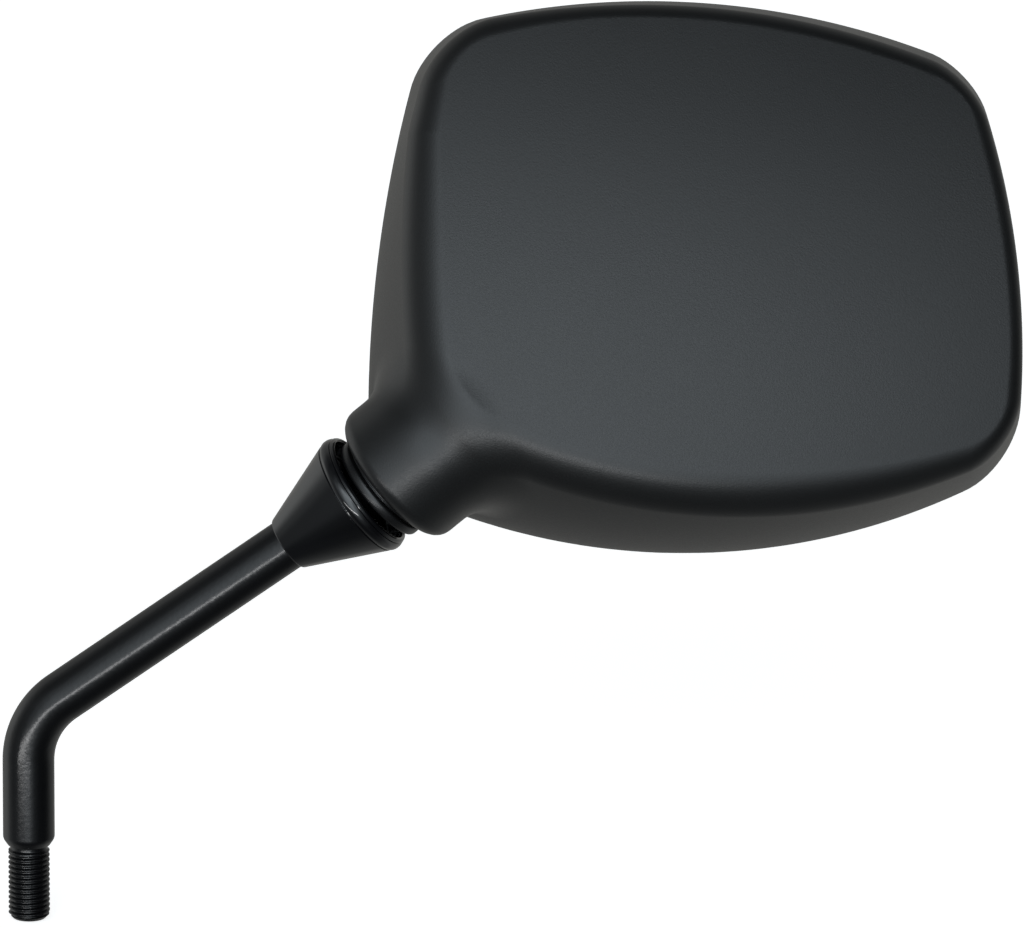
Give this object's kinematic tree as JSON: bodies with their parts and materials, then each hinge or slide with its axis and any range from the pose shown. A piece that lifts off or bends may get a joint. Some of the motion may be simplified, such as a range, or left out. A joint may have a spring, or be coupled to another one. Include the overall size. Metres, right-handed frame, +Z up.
{
  "type": "motorcycle rear-view mirror",
  "caption": "Motorcycle mirror: bent steel arm with a threaded stem, cone collar, and a moulded head with convex glass on a ball joint.",
  "frame": {"origin": "on the axis of the threaded stem, at the top of its thread", "axes": "+Z up the stem, +X towards the head, +Y the way the glass faces"},
  "size_m": [0.2454, 0.0717, 0.2223],
  "materials": {
    "arm_rod": "satin black powder coat over steel",
    "cone_collar": "gloss black moulding",
    "collar_o_ring": "black rubber",
    "collar_snap_ring": "zinc-plated spring steel",
    "thrust_washer": "natural acetal",
    "ball_screw": "zinc-plated steel",
    "ball": "turned zinc-plated steel",
    "socket_seat": "natural acetal",
    "pressure_cup": "natural acetal",
    "disc_springs": "phosphated spring steel",
    "clamp_plate": "zinc-plated pressed steel",
    "clamp_screws": "zinc-plated steel",
    "threaded_inserts": "machined brass",
    "housing": "fine grained dark grey-black moulding",
    "neck_seal": "black rubber",
    "glass_carrier": "black moulding",
    "carrier_screws": "zinc-plated steel",
    "adhesive_pad": "black foam tape",
    "mirror_glass": "silvered convex glass",
    "glass_gasket": "black rubber"
  },
  "bodies": {
    "arm": {"arm_rod": "arm_rod", "cone_collar": "cone_collar", "collar_o_ring": "collar_o_ring", "collar_snap_ring": "collar_snap_ring", "thrust_washer": "thrust_washer", "ball_screw": "ball_screw"},
    "ball": {"ball": "ball"},
    "socket": {"socket_seat": "socket_seat", "pressure_cup": "pressure_cup"},
    "head": {"disc_springs": "disc_springs", "clamp_plate": "clamp_plate", "clamp_screws": "clamp_screws", "threaded_inserts": "threaded_inserts", "housing": "housing", "neck_seal": "neck_seal", "glass_carrier": "glass_carrier", "carrier_screws": "carrier_screws", "adhesive_pad": "adhesive_pad", "mirror_glass": "mirror_glass", "glass_gasket": "glass_gasket"}
  },
  "joints": [
    {"name": "swivel", "type": "hinge", "parent": "arm", "child": "ball", "pos_m": [0.09593, -0.01093, 0.10311], "axis": [0.8028, -0.0915, 0.5892], "continuous": true},
    {"name": "tilt", "type": "hinge", "parent": "ball", "child": "socket", "pos_m": [0.09593, -0.01093, 0.10311], "axis": [-0.2008, -0.9719, 0.1228], "range_deg": [-13.5, 3.4]},
    {"name": "spin", "type": "hinge", "parent": "socket", "child": "head", "pos_m": [0.09593, -0.01093, 0.10311], "axis": [0.7503, -0.072, 0.6572], "continuous": true}
  ]
}
